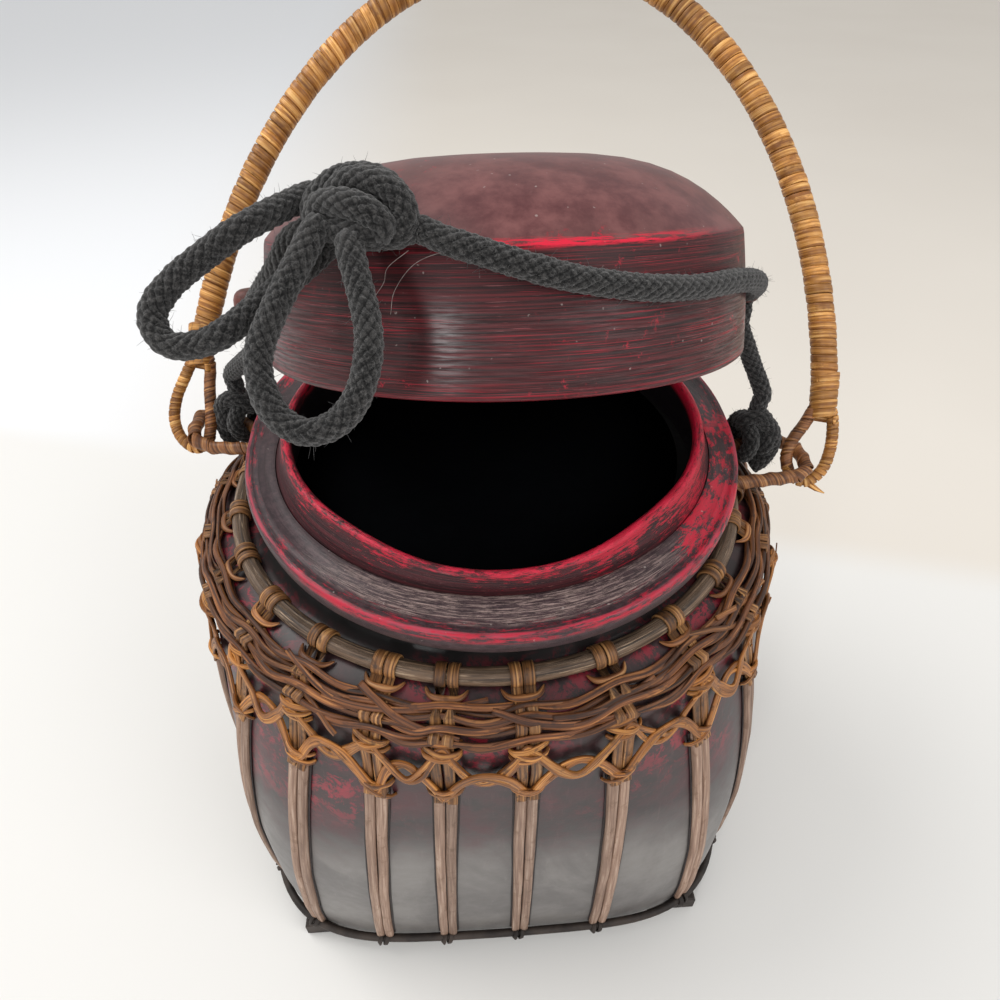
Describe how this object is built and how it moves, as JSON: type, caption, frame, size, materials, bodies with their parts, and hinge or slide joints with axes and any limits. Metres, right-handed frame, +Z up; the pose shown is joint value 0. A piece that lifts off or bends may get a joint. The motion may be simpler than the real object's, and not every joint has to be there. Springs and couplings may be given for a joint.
{
  "type": "lidded rice basket with bail handle",
  "caption": "Lacquered sticky rice basket with split ribs, twined cane, a corded domed lid tilted open and a wrapped bail handle.",
  "frame": {"origin": "on the ground under the middle of the base board", "axes": "+Z up, -Y towards the front where the lid stands open, +X to the right seen from the front"},
  "size_m": [0.238, 0.2119, 0.3276],
  "materials": {
    "lacquer": "worn lacquer, satin",
    "lacquer_lid": "worn maroon lacquer, satin",
    "lacquer_red": "worn red lacquer, satin",
    "wood_dark": "dull",
    "split": "dull, weathered grain",
    "rattan": "dull, long grain",
    "twine": "dull",
    "cane": "satin cane",
    "cord": "matt braided cotton"
  },
  "bodies": {
    "basket": {"base_hoop": "wood_dark", "base_plate": "wood_dark", "body_shell": "lacquer", "knot_left": "cord", "knot_right": "cord", "lashing_row": "cane", "lug_left": "cane", "lug_right": "cane", "mouth_collar": "lacquer_red", "neck_flange": "lacquer_lid", "rib_01": "split", "rib_02": "split", "rib_03": "split", "rib_04": "split", "rib_05": "split", "rib_06": "split", "rib_07": "split", "rib_08": "split", "rib_09": "split", "rib_10": "split", "rib_11": "split", "rib_12": "split", "rib_13": "split", "rib_14": "split", "rib_15": "split", "rib_16": "split", "rib_17": "split", "rib_18": "split", "rib_19": "split", "rib_20": "split", "rib_21": "split", "rib_22": "split", "rib_23": "split", "rib_24": "split", "scallop_row": "cane", "shoulder_hoop": "rattan", "side_cord_left": "cord", "side_cord_right": "cord", "weave_row_1": "twine", "weave_row_2": "twine", "weave_row_3": "twine"},
    "lid": {"lid_shell": "lacquer_lid", "lid_ear_right": "wood_dark", "lid_ear_left": "wood_dark", "front_cord_right": "cord", "front_cord_left": "cord", "bow_knot": "cord", "bow_loop_left": "cord", "bow_loop_front": "cord"},
    "handle": {"handle_core": "cane", "handle_wrap": "cane", "handle_eye_right": "cane", "handle_eye_left": "cane"}
  },
  "joints": [
    {"name": "lid_tilt", "type": "hinge", "parent": "basket", "child": "lid", "pos_m": [-0.0039, 0.0741, 0.16551], "axis": [-0.9782, 0.0331, 0.2048], "range_deg": [-18.7, 2], "deforming": ["side_cord_right", "side_cord_left"]},
    {"name": "handle_swing", "type": "hinge", "parent": "basket", "child": "handle", "pos_m": [0.0027, 0.01075, 0.1911], "axis": [0.99, -0.1408, -0.0092], "range_deg": [-12, 85]}
  ]
}
